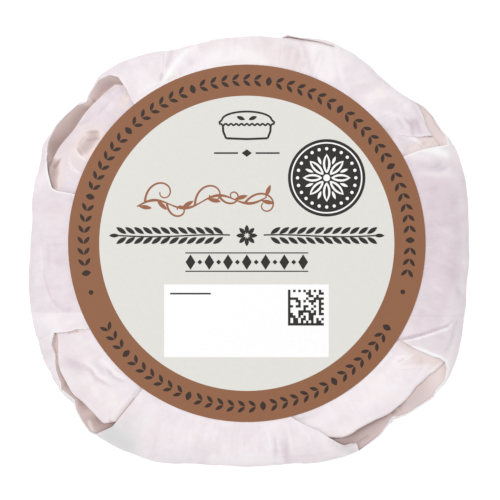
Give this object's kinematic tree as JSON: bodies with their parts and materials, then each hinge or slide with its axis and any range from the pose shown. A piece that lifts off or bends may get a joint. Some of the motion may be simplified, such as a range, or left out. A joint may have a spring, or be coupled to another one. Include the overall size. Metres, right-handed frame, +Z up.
{
  "type": "wrapped pork pie",
  "caption": "Round, straight-sided pork pie in a white greaseproof paper wrap with tucked corners, held shut by a round label on its flat top.",
  "frame": {"origin": "middle of the flat base, under the middle of the pack's outline", "axes": "+Z up from the base to the label, -Y towards the lower edge of the label's print, +X to its right"},
  "size_m": [0.1108, 0.1082, 0.058],
  "materials": {
    "wrap_paper": "white greaseproof paper with a faint pink tone, a soft sheen and sharp creases",
    "label_paper": "pale grey coated label paper with a copper-brown ring and dark brown print"
  },
  "bodies": {
    "root": {"wrapped_pie": "wrap_paper", "label": "label_paper"}
  },
  "joints": []
}
